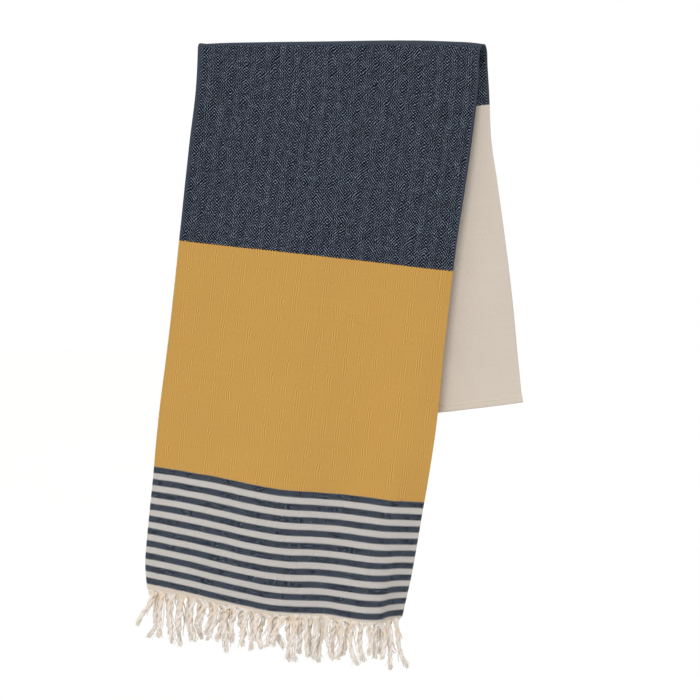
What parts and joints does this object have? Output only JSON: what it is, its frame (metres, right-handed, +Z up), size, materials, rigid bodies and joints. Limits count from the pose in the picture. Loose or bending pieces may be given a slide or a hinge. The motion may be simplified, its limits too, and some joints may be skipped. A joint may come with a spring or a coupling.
{
  "type": "hammam towel",
  "caption": "Woven cotton hammam towel folded lengthwise and draped askew over a rail, with twisted, knotted fringe at its front end.",
  "frame": {"origin": "on top of the rail's place, at the middle of the towel's width, where the underside of the fold rests", "axes": "+X along the rail towards the open sides, +Y from the front panel to the back panel, +Z up"},
  "size_m": [0.7026, 0.0966, 1.1332],
  "materials": {
    "cloth": "flat-woven cotton, dyed in navy, mustard and cream blocks",
    "fringe": "undyed twisted cotton yarn"
  },
  "bodies": {
    "root": {"cloth": "cloth", "fringe": "fringe"}
  },
  "joints": []
}
